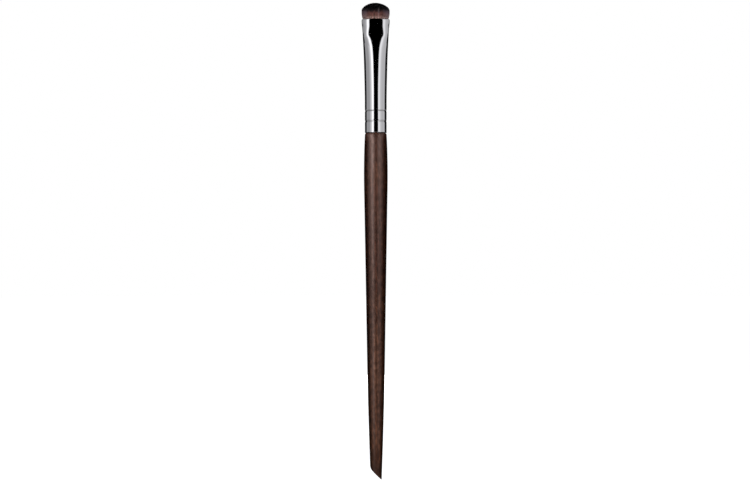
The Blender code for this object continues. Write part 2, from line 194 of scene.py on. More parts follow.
def skin(name, grid, first_pole=None, last_pole=None, ring=False, flow=None):
    """A closed skin from a grid of shape (rows, columns, 3). The columns close on themselves. The
    rows end in poles, or close on themselves too where ring is true, as on a tube's wall. `flow`
    holds a vector for each grid point, which the finish follows."""
    rows, columns = grid.shape[:2]
    index = np.arange(rows * columns).reshape(rows, columns)
    low = index if ring else index[:-1]
    high = np.roll(index, -1, axis=0) if ring else index[1:]
    corners = [low, np.roll(low, -1, axis=1), np.roll(high, -1, axis=1), high]
    polygons = [np.stack(corners, axis=-1).reshape(-1, 4)]
    points = grid.reshape(-1, 3)
    flow = (grid if flow is None else flow).reshape(-1, 3)
    for pole, row, order in ((first_pole, index[0], 1), (last_pole, index[-1], -1)):
        if pole is None:
            continue
        fan = np.stack([np.full(columns, len(points)), np.roll(row, -1), row], axis=-1)
        polygons.append(fan[:, ::order])
        points = np.vstack([points, pole])
        flow = np.vstack([flow, flow[row].mean(axis=0)])
    return mesh_from(name, points, polygons, flow=flow)


# %% [markdown]
# ## The ferrule
#
# The ferrule is a drawn metal tube. It is round where it grips the handle, widens a little, and
# is pressed flat at the mouth, where its edge flares out slightly. Two crimps hold the handle's
# tenon. A lathe profile with a scaled end would come close, but pressing keeps the tube's girth,
# so the section itself has to change: an oval of growing power, which is a circle at the rear.
# A polished surface shows the smallest error in its slope as a bent reflection, so every size
# along the tube is a smooth curve through a few shares, and no two rings meet at an angle.

# %% Ferrule sections
FLARE_RISE_SHARE = 0.82
SWELL_HEIGHT = 0.0102
SWELL_WIDTH = 0.0026
SWELL = 0.000022


def oval(half_width, half_depth, power, angle):
    """Points (x, y) of the oval |x / half_width|^power + |y / half_depth|^power = 1."""
    cos, sin = np.cos(angle), np.sin(angle)
    x = half_width * np.sign(cos) * np.abs(cos) ** (ROUND_POWER / power)
    y = half_depth * np.sign(sin) * np.abs(sin) ** (ROUND_POWER / power)
    return x, y


def crimp(height):
    """How far the crimps press in: a squared cosine over each crimp's width."""
    pressed = np.zeros_like(height)
    for centre, width in CRIMPS:
        offset = np.clip(np.abs(height - centre) / width, 0, 0.5)
        pressed += CRIMP_DEPTH * np.cos(math.pi * offset) ** 2
    return pressed


def swell(height):
    """The metal that a crimp pushes up stands out above it: a squared cosine hump."""
    offset = np.clip(np.abs(height - SWELL_HEIGHT) / SWELL_WIDTH, 0, 0.5)
    return SWELL * np.cos(math.pi * offset) ** 2


def lip_flare(height):
    """How far the mouth's lip flares out: a half cosine that rises over most of its length, and
    the root of a quarter sine that rounds it off at the edge."""
    share = np.clip((height - FERRULE_LENGTH + LIP_LENGTH) / LIP_LENGTH, 0, 1)
    rise = (1 - np.cos(math.pi * np.clip(share / FLARE_RISE_SHARE, 0, 1))) / 2
    fall = np.sin(math.pi / 2 * np.clip((1 - share) / (1 - FLARE_RISE_SHARE), 0, 1)) ** 0.5
    return LIP_FLARE * rise * fall


def ferrule_section(height):
    """(half width, half depth, power) of the tube's outer skin without crimps and lip: the
    cone's radius goes over to the mouth's half width and half depth along two press curves."""
    along = np.asarray(height) / FERRULE_LENGTH
    cone = mix(REAR_RADIUS, FRONT_RADIUS, smooth(CONE_SHARES, along))
    thinning = smooth(DEPTH_PRESS_SHARES, along)
    half_width = mix(cone, MOUTH_HALF_WIDTH, smooth(WIDTH_PRESS_SHARES, along))
    half_depth = mix(cone, MOUTH_HALF_DEPTH, thinning)
    return half_width, half_depth, mix(ROUND_POWER, MOUTH_POWER, smooth(POWER_SHARES, along))


# %% Ferrule tube
FERRULE_COLUMNS = 216
COLUMN_BUNCH = 0.55
OUTER_ROWS = 130
CRIMP_ROWS = 19
LIP_ROWS = 26
INNER_ROWS = 90
EDGE_STEPS = 9


def ferrule_path():
    """Heights and offsets from the plain section along the tube's wall: up the outside, over the
    half round edge of the mouth, down the inside and under the rear edge."""
    heights = [np.linspace(0, FERRULE_LENGTH - LIP_LENGTH, OUTER_ROWS)]
    for centre, width in CRIMPS:
        heights.append(np.linspace(centre - width / 2, centre + width / 2, CRIMP_ROWS))
    heights.append(np.linspace(FERRULE_LENGTH - LIP_LENGTH, FERRULE_LENGTH, LIP_ROWS))
    outer = np.unique(np.concatenate(heights))
    outside = lip_flare(outer) + swell(outer) - crimp(outer)
    lip = (lip_flare(FERRULE_LENGTH - WALL / 2) + WALL) / 2
    shown = (outer > WALL / 2) & (outer < FERRULE_LENGTH - lip)
    outer, outside = outer[shown], outside[shown]
    inner = np.linspace(FERRULE_LENGTH - lip, WALL / 2, INNER_ROWS)
    inside = -WALL - crimp(inner)
    turn = np.linspace(0, math.pi, EDGE_STEPS)
    lip_heights = FERRULE_LENGTH - lip + lip * np.sin(turn)
    lip_offsets = -WALL + lip + lip * np.cos(turn)
    rear_heights = WALL / 2 - WALL / 2 * np.sin(turn)
    rear_offsets = -WALL / 2 - WALL / 2 * np.cos(turn)
    return (
        np.concatenate([outer, lip_heights, inner, rear_heights]),
        np.concatenate([outside, lip_offsets, inside, rear_offsets]),
    )


def make_ferrule():
    """Each point of the wall's path becomes a ring: the section at its height, moved out or in by
    the path's offset. The ring's points bunch up where the oval turns fast. The flow field is the
    same grid on an unpressed tube, because the fine lines of drawing ran straight before the
    mouth was pressed."""
    heights, offsets = ferrule_path()
    half_width, half_depth, power = ferrule_section(heights)
    turn = np.linspace(0, math.tau, FERRULE_COLUMNS, endpoint=False)
    angle = turn - COLUMN_BUNCH * np.sin(4 * turn) / 4
    x, y = oval(
        (half_width + offsets)[:, None], (half_depth + offsets)[:, None], power[:, None], angle
    )
    z = np.broadcast_to((FERRULE_FOOT + heights)[:, None], x.shape)
    grid = np.stack([x, y, z], axis=-1)
    return skin("ferrule_tube", grid, ring=True, flow=rings(REAR_RADIUS, angle, z))


ferrule = make_ferrule()
print("ferrule box:", [round(v * 1000, 2) for v in ferrule.dimensions], "mm")

# %% [markdown]
# ## The handle
#
# The handle is turned from one stick: a tenon inside the ferrule, a shoulder against the
# ferrule's edge, a belly where the fingers hold it, and a long taper. Its end is cut on a slant,
# and sanding and lacquer round that cut's edge. A turned profile with a Boolean cut would leave
# long thin triangles, so the rows of the grid are bent to end on the cut, and the cut's face is
# filled with rows that shrink towards its middle.

# %% Handle profile
SHOULDER_STEP = 0.00006
SHOULDER_GAP = 0.00012
SHOULDER_ROUND = 0.0005
TENON_CHAMFER = 0.0006
SEARCH_STEPS = 60


def handle_radius(drop):
    """Radius at this distance below the ferrule: a power of a quarter sine out to the belly, then
    the falling curve of FALL_SHARES down to the point."""
    sine = np.sin(math.pi / 2 * np.clip(drop / BELLY_DROP, 0, 1))
    rise = mix(REAR_RADIUS - SHOULDER_STEP, BELLY_RADIUS, sine**BELLY_RISE_POWER)
    fall = smooth(FALL_SHARES, (drop - BELLY_DROP) / (HANDLE_SHOWN - BELLY_DROP))
    return np.where(drop < BELLY_DROP, rise, mix(BELLY_RADIUS, END_RADIUS, fall))


def slant_face():
    """The slanted cut seen from the front, as a function that gives its height below the
    ferrule for each x: a straight line from the point, then an arc that meets the far side."""
    drop = HANDLE_SHOWN
    for _ in range(SEARCH_STEPS):
        drop = HANDLE_SHOWN - (END_RADIUS + float(handle_radius(drop))) / math.tan(SLANT)
    radius = float(handle_radius(drop))
    above = float(handle_radius(drop - BELLY_RADIUS))
    taper = math.atan2(above - radius, BELLY_RADIUS)
    tangent = SLANT_CORNER_RADIUS * math.tan((SLANT - taper) / 2)
    start_x = -radius + math.sin(SLANT) * tangent
    start_z = -drop - math.cos(SLANT) * tangent
    centre_x = start_x + math.cos(SLANT) * SLANT_CORNER_RADIUS
    centre_z = start_z + math.sin(SLANT) * SLANT_CORNER_RADIUS

    def height(x):
        line = -HANDLE_SHOWN + (END_RADIUS - x) / math.tan(SLANT)
        inside = np.clip(SLANT_CORNER_RADIUS**2 - (x - centre_x) ** 2, 0, None)
        return np.where(x > start_x, line, centre_z - np.sqrt(inside))

    return height


# %% Handle skin
HANDLE_COLUMNS = 160
CUT_EDGE_ROUND = 0.00016
CUT_ROWS = 12
EDGE_ROWS = 7
LOWER_ROWS = 36
SHAFT_ROWS = 190
TENON_ROWS = 70
LOWER_LENGTH = 0.0120


def cut_rows(angle):
    """Rows from the middle of the slanted face out to its edge and up the side to a level row.
    Each column's edge is where the side's radius and the cut's height agree, found by repeating
    one from the other. The edge is a quadratic curve between points a little way off it."""
    face = slant_face()
    edge = face(END_RADIUS * np.cos(angle))
    for _ in range(SEARCH_STEPS):
        edge = face(handle_radius(-edge) * np.cos(angle))
    radius = handle_radius(-edge)

    def on_face(share):
        return rings(radius * share, angle, face(radius * share * np.cos(angle)))

    def on_side(z):
        return rings(handle_radius(-z), angle, z)

    inner_share = 1 - CUT_EDGE_ROUND / radius
    rows = [on_face(inner_share * share) for share in np.linspace(0, 1, CUT_ROWS + 1)[1:]]
    start, corner, end = on_face(inner_share), on_face(1.0), on_side(edge + CUT_EDGE_ROUND)
    for t in np.linspace(0, 1, EDGE_ROWS)[1:]:
        rows.append((1 - t) ** 2 * start + 2 * t * (1 - t) * corner + t * t * end)
    top = -HANDLE_SHOWN + LOWER_LENGTH
    for share in np.linspace(0, 1, LOWER_ROWS)[1:]:
        rows.append(on_side(mix(edge + CUT_EDGE_ROUND, top, share)))
    return rows, float(face(0.0))


def make_handle():
    """The rows of the cut, then level rings of the shaft, the shoulder's quarter round and the
    tenon, which follows the ferrule's bore at the fit gap."""
    angle = np.linspace(0, math.tau, HANDLE_COLUMNS, endpoint=False)
    rows, cut_middle = cut_rows(angle)
    foot = SHOULDER_GAP + SHOULDER_ROUND
    z = np.linspace(-HANDLE_SHOWN + LOWER_LENGTH, -foot, SHAFT_ROWS)[1:]
    profile = [(handle_radius(-z), z)]
    turn = np.linspace(0, math.pi / 2, EDGE_ROWS)[1:]
    shoulder = float(handle_radius(foot)) - SHOULDER_ROUND
    profile.append((shoulder + SHOULDER_ROUND * np.cos(turn), -foot + SHOULDER_ROUND * np.sin(turn)))
    z = np.linspace(0, TENON_TOP - TENON_CHAMFER, TENON_ROWS)
    bore = ferrule_section(z)[1] - WALL - crimp(z) - FIT_GAP
    profile.append((bore[:1], np.array([-SHOULDER_GAP])))
    profile.append((bore, z))
    profile.append((bore[-1:] - TENON_CHAMFER, np.array([TENON_TOP])))
    radius, z = (np.concatenate(parts)[:, None] for parts in zip(*profile))
    grid = np.concatenate([np.stack(rows), rings(radius, angle, z)]) + np.array([0, 0, FERRULE_FOOT])
    ends = [(0, 0, FERRULE_FOOT + middle) for middle in (cut_middle, TENON_TOP)]
    return skin("turned_handle", grid, *ends)


handle = make_handle()
print("handle box:", [round(v * 1000, 2) for v in handle.dimensions], "mm")

# %% [markdown]
# ## The hair
#
# Some seven thousand fine fibres fill the mouth side by side. Blender's own hair curves would be
# quick to make, but they are no mesh. Here each fibre is a three sided tube with few faces, and
# all of them are one array. A fibre keeps its place in the bundle at each height: round at the
# root, a flat oval in the mouth, and fuller at the tuft's belly. Fibres lean together in small
# locks, and each ends on the dome.

# %% Hair levels
FIBRES = 7200
FIBRE_RADIUS = 0.000046
BELLY_HEIGHT = 0.0032
BELLY_HALF_WIDTH = 0.00552
REACH = 0.00541
CROWN_HALF_WIDTH = 0.00500
BELLY_HALF_DEPTH = 0.00314
BELLY_POWER = 2.15
FLARE_HEIGHT = 0.0006
FLARE_HALF_WIDTH = 0.00514
FLARE_HALF_DEPTH = 0.00280
HAIR_GAP = 0.00006
ROOT_HEIGHT = 0.0055
THREAD_GIRTH = 0.0009
HAIR_SEED = 7

root_top = ROOT_FOOT + ROOT_HEIGHT
root_radius = float(ferrule_section(FERRULE_LENGTH + ROOT_FOOT)[1]) - WALL - THREAD_GIRTH
PANEL_HEIGHT = -0.0062
panel_width, panel_depth, panel_power = ferrule_section(FERRULE_LENGTH + PANEL_HEIGHT)
mouth_power = float(ferrule_section(FERRULE_LENGTH)[2])
WIDTH_LEVELS = (
    (root_top, root_radius), (PANEL_HEIGHT, panel_width - WALL - HAIR_GAP),
    (0.0, MOUTH_HALF_WIDTH - WALL - HAIR_GAP), (FLARE_HEIGHT, FLARE_HALF_WIDTH),
    (BELLY_HEIGHT, BELLY_HALF_WIDTH), (TUFT_TOP, CROWN_HALF_WIDTH),
)
DEPTH_LEVELS = (
    (root_top, root_radius), (PANEL_HEIGHT, panel_depth - WALL - HAIR_GAP),
    (0.0, MOUTH_HALF_DEPTH - WALL - HAIR_GAP), (FLARE_HEIGHT, FLARE_HALF_DEPTH),
    (BELLY_HEIGHT, BELLY_HALF_DEPTH), (TUFT_TOP, BELLY_HALF_DEPTH),
)
POWER_LEVELS = (
    (root_top, ROUND_POWER), (PANEL_HEIGHT, panel_power), (0.0, mouth_power),
    (BELLY_HEIGHT, BELLY_POWER), (TUFT_TOP, BELLY_POWER),
)
print(f"root radius {root_radius * 1000:.2f} mm")

# %% Hair fibres
INNER_HEIGHTS = (0.0160, 0.0062, 0.0022)
SHOWN_SHARES = (0.05, 0.17, 0.40, 0.64, 0.84, 1.0)
FIBRE_JITTER = 0.35
LOCKS = 330
LOCK_JITTER = 0.8
LOCK_PULL_SHARE = 0.34
TAPER_START_SHARE = 0.62
TIP_WIDTH_SHARE = 0.40
TIP_WANDER = 0.000045
TIP_SPREAD = 0.00026
DOME_TILT = 0.00013
TILT_START = -0.3


def spread_in_disc(count, draw, jitter):
    """Places evenly spread in the unit disc: the root of the place's number is its distance from
    the middle, and each is a golden angle on from the last, moved a little at random."""
    number = np.arange(count) + 0.5
    golden = math.pi * (3 - math.sqrt(5))
    radius = np.sqrt(number / count)
    spots = np.stack([radius * np.cos(golden * number), radius * np.sin(golden * number)], axis=-1)
    spots += draw.normal(0, jitter / math.sqrt(count), spots.shape)
    reach = np.linalg.norm(spots, axis=-1, keepdims=True)
    return spots / np.maximum(reach, 1.0)


def bundle_place(spots, height):
    """Where places of the unit disc lie in the bundle at these heights: the direction is kept,
    and the distance is stretched to the oval of that height."""
    reach = np.linalg.norm(spots, axis=-1) + 1e-9
    cos, sin = spots[..., 0] / reach, spots[..., 1] / reach
    power = smooth(POWER_LEVELS, height)
    edge = (np.abs(cos) ** power + np.abs(sin) ** power) ** (-1 / power)
    x = smooth(WIDTH_LEVELS, height) * cos * edge * reach
    y = smooth(DEPTH_LEVELS, height) * sin * edge * reach
    return x, y


def fibre_arrays():
    """Centre lines, widths and finish fields of all fibres, as arrays of (fibres, levels). A fibre
    leans from its own spot towards its lock's with the square of its height's share. It ends on
    the dome, a random bit lower, and its tip strays at random."""
    draw = np.random.default_rng(HAIR_SEED)
    spots = spread_in_disc(FIBRES, draw, FIBRE_JITTER)
    locks = spread_in_disc(LOCKS, draw, LOCK_JITTER)
    nearest = np.argmin(((spots[:, None] - locks[None]) ** 2).sum(axis=-1), axis=1)
    reach = np.linalg.norm(spots, axis=-1)
    dome = np.sqrt(np.clip(1 - reach**2, 0, 1))
    own_end = BELLY_HEIGHT + (TUFT_TOP - BELLY_HEIGHT) * dome - TIP_SPREAD * draw.random(FIBRES) ** 2
    own_end -= DOME_TILT * np.clip(spots[:, 0] - TILT_START, 0, None) * dome
    inner = np.broadcast_to(-np.array(INNER_HEIGHTS), (FIBRES, len(INNER_HEIGHTS)))
    height = np.concatenate([inner, own_end[:, None] * np.array(SHOWN_SHARES)], axis=1)
    shown = np.clip(height / own_end[:, None], 0, 1)
    pull = LOCK_PULL_SHARE * shown**2
    gathered = spots[:, None] + (locks[nearest] - spots)[:, None] * pull[..., None]
    x, y = bundle_place(gathered, height)
    wander = draw.normal(0, TIP_WANDER, (2, FIBRES, 1)) * shown**1.5
    x, y = np.clip(x + wander[0], -REACH, REACH), y + wander[1]
    narrowing = np.clip((shown - TAPER_START_SHARE) / (1 - TAPER_START_SHARE), 0, 1) ** 1.4
    tone = np.broadcast_to(draw.random((FIBRES, 1)), height.shape)
    lock_tone = np.broadcast_to(draw.random(LOCKS)[nearest][:, None], height.shape)
    field = np.stack([tone, height / TUFT_TOP, lock_tone], axis=-1)
    widths = FIBRE_RADIUS * mix(1.0, TIP_WIDTH_SHARE, narrowing)
    return np.stack([x, y, height + MOUTH], axis=-1), widths, field, draw


def make_fibres(name, centres, widths, field, turn):
    """A three sided tube round each centre line: its corners stand a third of a turn apart, and a
    triangle closes each end."""
    fibres, levels = widths.shape
    angle = turn[:, None, None] + math.tau / 3 * np.arange(3)
    x = centres[..., 0:1] + widths[..., None] * np.cos(angle)
    y = centres[..., 1:2] + widths[..., None] * np.sin(angle)
    points = np.stack([x, y, np.broadcast_to(centres[..., 2:3], x.shape)], axis=-1)
    index = np.arange(fibres * levels * 3).reshape(fibres, levels, 3)
    low, high = index[:, :-1], index[:, 1:]
    sides = np.stack([low, np.roll(low, -1, axis=2), np.roll(high, -1, axis=2), high], axis=-1)
    ends = np.concatenate([index[:, 0, ::-1], index[:, -1]])
    strand = np.repeat(field[:, :, None], 3, axis=2)
    return mesh_from(name, points.reshape(-1, 3), [sides.reshape(-1, 4), ends], strand=strand)


centres, widths, field, draw = fibre_arrays()
turn = draw.random(FIBRES) * math.tau
front = centres[:, 0, 1] < 0
hair_front, hair_back = (
    make_fibres(name, centres[half], widths[half], field[half], turn[half])
    for name, half in (("hair_front", front), ("hair_back", ~front))
)
widest = np.abs(centres[..., 0]).max() + FIBRE_RADIUS
print(f"tuft: {FIBRES} fibres, {widest * 2000:.2f} mm wide, top at {centres[..., 2].max() * 1000:.2f} mm")

# %% [markdown]
# ## The root and its thread
#
# Inside the ferrule the hair's root is soaked with resin and bound with thread, so that the
# bundle can be pushed in as one plug. Nobody sees it on a whole brush, but the part can be taken
# apart. The root is a round block whose side shows the fibres as fine ridges, drawn in under the
# binding. The thread is two plies twisted together and wound in close turns: a tube along a
# helix, whose section has two lobes that turn as it goes.

# %% Root block and binding thread
ROOT_COLUMNS = 180
ROOT_ROWS = 44
ROOT_RIDGES = 60
ROOT_RIDGE = 0.00004
BINDING_WAIST = 0.00012
THREAD_RADIUS = 0.00011
THREAD_PITCH = 0.000235
PLY_TWIST_LENGTH = 0.0007
PLY_WAIST_SHARE = 0.72
THREAD_STEPS = 40
THREAD_COLUMNS = 12

binding_middle = (THREAD_LOW + THREAD_HIGH) / 2
thread_turns = round((THREAD_HIGH - THREAD_LOW) / THREAD_PITCH)
binding_length = thread_turns * THREAD_PITCH


def root_waist(height):
    """How far the binding draws the root in: fully under its turns, easing out beyond them."""
    beyond = np.abs(height - binding_middle) - binding_length / 2
    return BINDING_WAIST * np.clip(1 - beyond / (2 * THREAD_PITCH), 0, 1)


def make_root():
    """Rings of a cylinder with rounded ends, whose radius has a ridge for each outer fibre."""
    edge = THREAD_RADIUS
    height = np.linspace(ROOT_FOOT + edge, root_top - edge, ROOT_ROWS)
    height = np.concatenate([[ROOT_FOOT, ROOT_FOOT + edge / 3], height, [root_top - edge / 3, root_top]])
    end = np.minimum(height - ROOT_FOOT, root_top - height)
    rounding = edge * (1 - np.sqrt(np.clip(1 - (1 - np.clip(end / edge, 0, 1)) ** 2, 0, 1)))
    angle = np.linspace(0, math.tau, ROOT_COLUMNS, endpoint=False)
    ridge = ROOT_RIDGE * np.abs(np.sin(ROOT_RIDGES / 2 * angle))
    radius = (root_radius - root_waist(height) - rounding)[:, None] - ROOT_RIDGE + ridge
    grid = rings(radius, angle, (height + MOUTH)[:, None])
    return skin("hair_root", grid, (0, 0, MOUTH + ROOT_FOOT), (0, 0, MOUTH + root_top))


def make_thread():
    """A helix round the root. At each step the section lies in the plane of the outward and the
    upright direction, and its radius swells where either ply faces."""
    steps = thread_turns * THREAD_STEPS
    turned = np.linspace(0, math.tau * thread_turns, steps + 1)
    winding = root_radius - BINDING_WAIST + THREAD_RADIUS
    out = np.stack([np.cos(turned), np.sin(turned), 0 * turned], axis=-1)
    along = np.stack([-np.sin(turned), np.cos(turned), 0 * turned], axis=-1) * winding
    along[:, 2] = THREAD_PITCH / math.tau
    along /= np.linalg.norm(along, axis=-1, keepdims=True)
    side = np.cross(along, out)
    rise = binding_middle + MOUTH + THREAD_PITCH * (turned / math.tau - thread_turns / 2)
    centre = out * winding + np.stack([0 * rise, 0 * rise, rise], axis=-1)
    angle = np.linspace(0, math.tau, THREAD_COLUMNS, endpoint=False)
    twist = math.tau * turned * winding / PLY_TWIST_LENGTH
    lobes = np.abs(np.cos(angle - twist[:, None]))
    radius = THREAD_RADIUS * mix(PLY_WAIST_SHARE, 1.0, lobes)
    grid = centre[:, None] + radius[..., None] * (
        np.cos(angle)[None, :, None] * out[:, None] + np.sin(angle)[None, :, None] * side[:, None]
    )
    flow = np.stack([lobes, np.broadcast_to(twist[:, None], lobes.shape), 0 * lobes], axis=-1)
    return skin("thread_winding", grid, centre[0], centre[-1], flow=flow)


hair_root = make_root()
thread = make_thread()
print(f"thread: {thread_turns} turns over {binding_length * 1000:.2f} mm")

# %% [markdown]
# ## A short way to write shader nodes
#
# A node tree takes many lines: make a node, set its values, link its sockets. One helper does
# all three, so that a finish below reads as a sum: each line names a node, its settings and what
# goes into it.

# %% Node helpers
def plug(tree, socket, value):
    """Links another node's output to the socket, or sets the socket's own value."""
    if isinstance(value, bpy.types.NodeSocket):
        tree.links.new(value, socket)
    else:
        socket.default_value = value


def node(tree, kind, inputs=None, **settings):
    """Adds a node. `inputs` gives, by name or number, a value or another node's output."""
    made = tree.nodes.new("ShaderNode" + kind)
    for name, value in settings.items():
        setattr(made, name, value)
    for key, value in (inputs or {}).items():
        plug(tree, made.inputs[key], value)
    return made


def math_node(tree, operation, first, second=0.0):
    """One step of arithmetic on numbers or outputs."""
    return node(tree, "Math", {0: first, 1: second}, operation=operation).outputs[0]


def plus(tree, first, second):
    return math_node(tree, "ADD", first, second)


def times(tree, first, second):
    return math_node(tree, "MULTIPLY", first, second)


def ranged(tree, value, low, high, to_low=0.0, to_high=1.0):
    """Value from low to high, mapped to to_low up to to_high and clamped."""
    inputs = {"Value": value, "From Min": low, "From Max": high, "To Min": to_low, "To Max": to_high}
    return node(tree, "MapRange", inputs).outputs["Result"]


def between(tree, share, start, end):
    """The value at this share of the way from start to end."""
    return ranged(tree, share, 0.0, 1.0, start, end)


def coordinates(tree):
    """The object's own coordinates, in metres."""
    return node(tree, "TexCoord").outputs["Object"]


def mesh_field(tree, name):
    """The vector that the mesh's points carry under this name."""
    return node(tree, "Attribute", attribute_name=name).outputs["Vector"]


def split(tree, vector):
    """The vector's three numbers, by the names X, Y and Z."""
    return node(tree, "SeparateXYZ", {"Vector": vector}).outputs


def noise(tree, vector, scale, detail):
    """Soft noise, with `scale` lumps in a metre."""
    return node(tree, "TexNoise", {"Vector": vector, "Scale": scale, "Detail": detail}).outputs["Fac"]


# %% Colours, relief and materials
def colour_mix(tree, share, first, second, blend="MIX"):
    """From the first colour to the second by this share. Each is three numbers or an output."""
    first, second = ((*colour, 1.0) if isinstance(colour, tuple) else colour for colour in (first, second))
    inputs = {"Factor": share, 6: first, 7: second}
    return node(tree, "Mix", inputs, data_type="RGBA", blend_type=blend).outputs[2]


def ramp(tree, value, stops):
    """A colour ramp from (place, colour) pairs."""
    made = node(tree, "ValToRGB", {"Fac": value})
    elements = made.color_ramp.elements
    while len(elements) < len(stops):
        elements.new(0.5)
    for element, (place, colour) in zip(elements, stops):
        element.position = place
        element.color = (*colour, 1.0)
    return made.outputs["Color"]


def bump(tree, height, distance):
    """The normal of a relief that stands `distance` out where the height is 1."""
    return node(tree, "Bump", {"Height": height, "Distance": distance}).outputs["Normal"]


def new_finish(name, **shader_values):
    """A material and its tree and shader, with the values that are the same all over."""
    material = bpy.data.materials.new(name)
    material.use_nodes = True
    shader = material.node_tree.nodes["Principled BSDF"]
    for key, value in shader_values.items():
        shader.inputs[key.replace("_", " ")].default_value = value
    return material, material.node_tree, shader


def feed(tree, shader, **sources):
    """Links the values that differ from place to place to the shader's inputs."""
    for key, source in sources.items():
        tree.links.new(source, shader.inputs[key.replace("_", " ")])


def dress(obj, material):
    """Gives the object this material alone."""
    obj.data.materials.clear()
    obj.data.materials.append(material)


# %% [markdown]
# ## Effects that several finishes share
#
# Drawn metal, wood and hair roots all show long fine streaks, and lacquer and plated metal both
# pick up faint smudges from handling. Each effect is a node group with named inputs, built once.
# The streaks are noise squeezed along one axis, so they follow whatever vector comes in.

# %% Shared node groups
def new_group(name, numbers, output):
    """A group that takes a Vector and these named numbers and puts out one number."""
    group = bpy.data.node_groups.new(name, "ShaderNodeTree")
    group.interface.new_socket("Vector", in_out="INPUT", socket_type="NodeSocketVector")
    for label in numbers:
        group.interface.new_socket(label, in_out="INPUT", socket_type="NodeSocketFloat")
    group.interface.new_socket(output, in_out="OUTPUT", socket_type="NodeSocketFloat")
    source = group.nodes.new("NodeGroupInput")
    sink = group.nodes.new("NodeGroupOutput")
    return group, source.outputs, sink.inputs[output]


def long_streaks_group():
    """Streaks along Z. Across and Along say how many fit in a metre, and Low and High are the
    noise values that become 0 and 1."""
    numbers = ("Across", "Along", "Detail", "Low", "High")
    group, given, result = new_group("long streaks", numbers, "Streaks")
    scale = node(group, "CombineXYZ", {"X": given["Across"], "Y": given["Across"], "Z": given["Along"]})
    inputs = {0: given["Vector"], 1: scale.outputs[0]}
    squeezed = node(group, "VectorMath", inputs, operation="MULTIPLY").outputs[0]
    inputs = {"Vector": squeezed, "Scale": 1.0, "Detail": given["Detail"], "Roughness": 0.55}
    streak = node(group, "TexNoise", inputs).outputs["Fac"]
    plug(group, result, ranged(group, streak, given["Low"], given["High"]))
    return group


def handling_marks_group():
    """Faint smudges from handling, as a share from 0 to 1: soft noise, bent by its own distortion.
    Smudges says how many fit in a metre."""
    group, given, result = new_group("handling marks", ("Smudges",), "Smudge")
    inputs = {
        "Vector": given["Vector"], "Scale": given["Smudges"], "Detail": 4.0, "Roughness": 0.6,
        "Distortion": 0.6,
    }
    smudge = node(group, "TexNoise", inputs).outputs["Fac"]
    plug(group, result, ranged(group, smudge, 0.40, 0.68))
    return group


long_streaks = long_streaks_group()
handling_marks = handling_marks_group()
print("node groups:", [group.name for group in bpy.data.node_groups])


def streaks(tree, vector, across, along, detail, low, high):
    """The group of long streaks on this vector, as a share from 0 to 1."""
    inputs = {
        "Vector": vector, "Across": across, "Along": along, "Detail": detail, "Low": low, "High": high
    }
    return node(tree, "Group", inputs, node_tree=long_streaks).outputs["Streaks"]


def smudges(tree, vector, count):
    """The group of handling marks on this vector, with `count` smudges in a metre."""
    inputs = {"Vector": vector, "Smudges": count}
    return node(tree, "Group", inputs, node_tree=handling_marks).outputs["Smudge"]


# %% [markdown]
# ## Plated metal
#
# The ferrule is polished plate over drawn brass. A perfect mirror would look like computer
# metal: the real one has fine lines along the tube from drawing, which spread a reflection
# sideways a little, and faint smudges. In the crimps, where no cloth reaches, dirt makes it
# rougher, and its colour is painted darker and duller: painted shade, standing in for the dark
# reflection in the grooves. The lines follow the flow field, so they bend with the pressed mouth.

# %% Metal finish
SHADE_AND_GRIME_WIDTH = 0.00052
SHADE_AND_GRIME_EDGE_SHARE = 0.5
SHADE_AND_GRIME_CORE_SHARE = 0.12
# Painted shade: the crimps' colour, darker than the plate, stands for the dark reflection in their grooves.
CRIMP_SHADE_COLOUR = (0.16, 0.15, 0.14)
PLATE_COLOURS = (0.74, 0.74, 0.755), (0.82, 0.82, 0.83)
LINE_DEPTH = 0.0000005


def crimp_mask(tree, z):
    """The share of painted shade and dirt in the crimps: most in the middle of each crimp, more in a narrow
    one, and 0 outside.
    """
    mask = None
    for centre, width in CRIMPS:
        offset = math_node(tree, "ABSOLUTE", math_node(tree, "SUBTRACT", z, FERRULE_FOOT + centre))
        edge, core = width * SHADE_AND_GRIME_EDGE_SHARE, width * SHADE_AND_GRIME_CORE_SHARE
        here = ranged(tree, offset, edge, core, 0.0, SHADE_AND_GRIME_WIDTH / width)
        mask = here if mask is None else math_node(tree, "MAXIMUM", mask, here)
    return mask


def metal_finish():
    material, tree, shader = new_finish("plated_metal", Metallic=1.0)
    place = coordinates(tree)
    flow = mesh_field(tree, "flow")
    lines = streaks(tree, flow, across=5200.0, along=60.0, detail=3.0, low=0.30, high=0.70)
    shade_and_grime = crimp_mask(tree, split(tree, place)["Z"])
    # Painted shade: this mask darkens the crimps' colour, and the same mask makes them rougher, as dirt
    # does.
    colour = colour_mix(tree, shade_and_grime, colour_mix(tree, lines, *PLATE_COLOURS), CRIMP_SHADE_COLOUR)
    rough = plus(tree, between(tree, lines, 0.035, 0.065), times(tree, smudges(tree, place, 300.0), 0.035))
    rough = plus(tree, rough, times(tree, shade_and_grime, 0.10))
    feed(tree, shader, Base_Color=colour, Roughness=rough, Normal=bump(tree, lines, LINE_DEPTH))
    return material


dress(ferrule, metal_finish())

# %% [markdown]
# ## Stained and lacquered wood
#
# The handle is close grained hardwood with a dark red brown stain under satin lacquer. Its grain
# runs along the stick, so a solid pattern on the object's own coordinates suits it: the same
# growth layers that show as long streaks on the side show as arcs on the slanted end. Fine pores
# take more stain, and a broader figure of short flecks makes the colour uneven. The lacquer is
# the shader's coat. It is thin, so it shines less over the dark flecks and follows their relief,
# and its gloss is tinted warm, as light that has passed through stain is. The stain is thinner
# towards the point, where the wood looks redder, and the cut's end grain drinks more of it.

